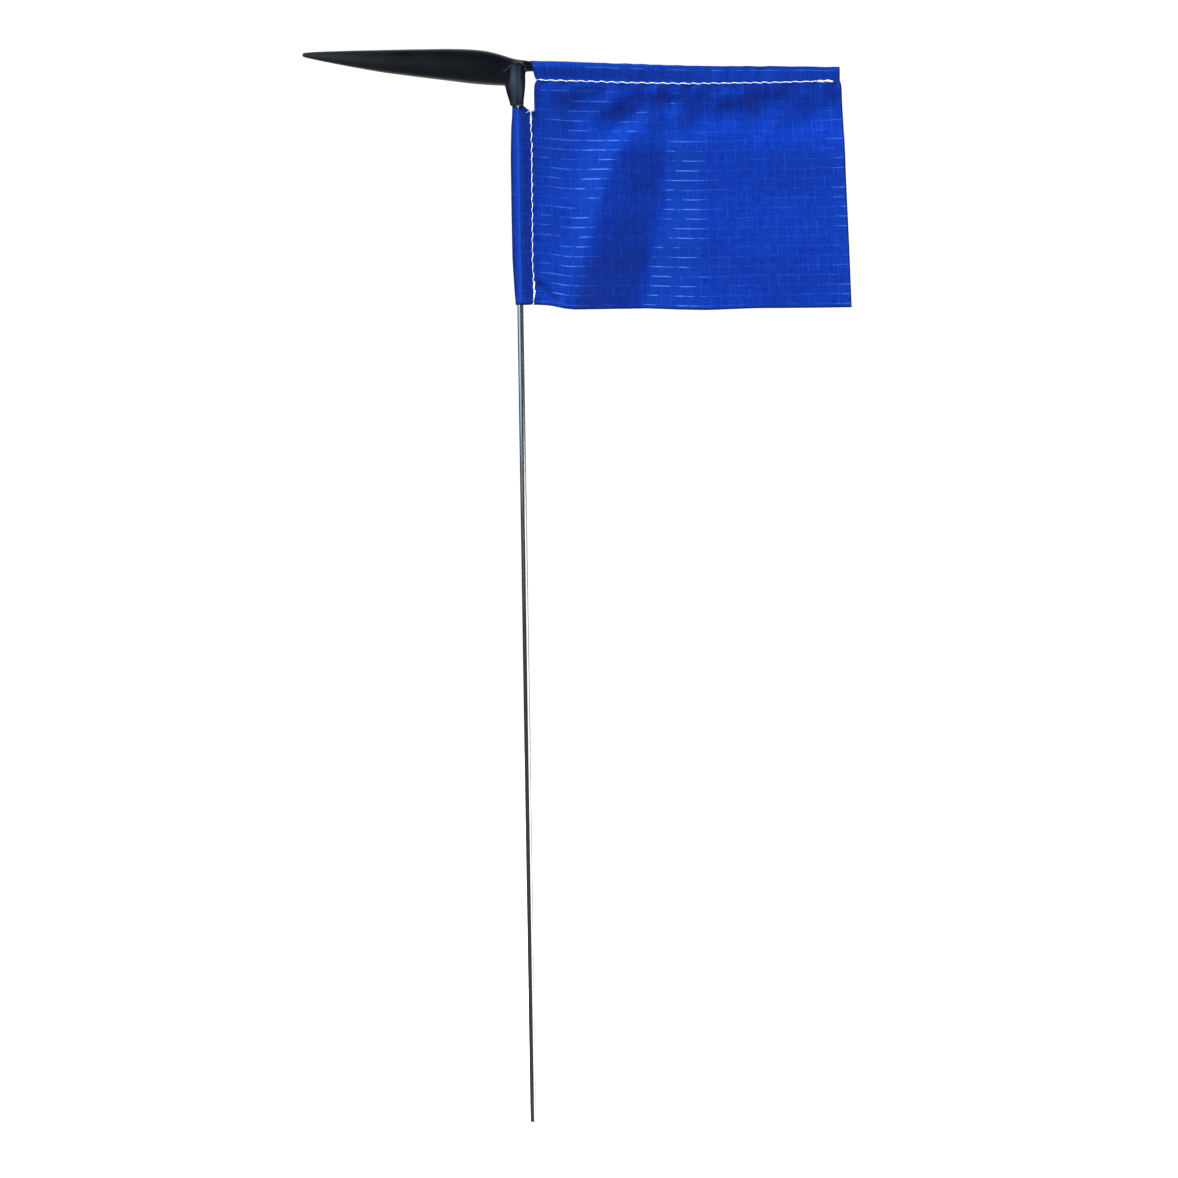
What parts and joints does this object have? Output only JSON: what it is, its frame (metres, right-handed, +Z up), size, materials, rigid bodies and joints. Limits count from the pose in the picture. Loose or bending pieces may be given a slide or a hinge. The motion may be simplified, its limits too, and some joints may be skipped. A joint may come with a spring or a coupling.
{
  "type": "masthead racing flag",
  "caption": "Small rectangular blue cloth on a swivelling black head with a teardrop counterweight, free to turn on top of a thin steel rod.",
  "frame": {"origin": "centre of the flat end face at the foot of the rod", "axes": "+Z up along the rod, which is the swivel axis; +X from the rod towards the fly of the flag at rest; -X towards the tip of the counterweight"},
  "size_m": [0.2815, 0.0096, 0.5564],
  "materials": {
    "stainless_rod": "drawn stainless steel rod, polished bright",
    "black_nylon": "moulded black nylon with a satin skin",
    "blue_ripstop": "royal blue ripstop nylon with a 5 mm reinforcement grid",
    "white_thread": "white polyester sewing thread"
  },
  "bodies": {
    "rod": {"support_rod": "stainless_rod"},
    "vane": {"swivel_head": "black_nylon", "flag_panel": "blue_ripstop", "hoist_sleeve": "blue_ripstop", "head_hem": "blue_ripstop", "hoist_seam_needle_thread": "white_thread", "hoist_seam_bobbin_thread": "white_thread", "head_seam_needle_thread": "white_thread", "head_seam_bobbin_thread": "white_thread"}
  },
  "joints": [
    {"name": "vane_swivel", "type": "hinge", "parent": "rod", "child": "vane", "pos_m": [0, 0, 0.547], "axis": [0, 0, 1], "continuous": true}
  ]
}
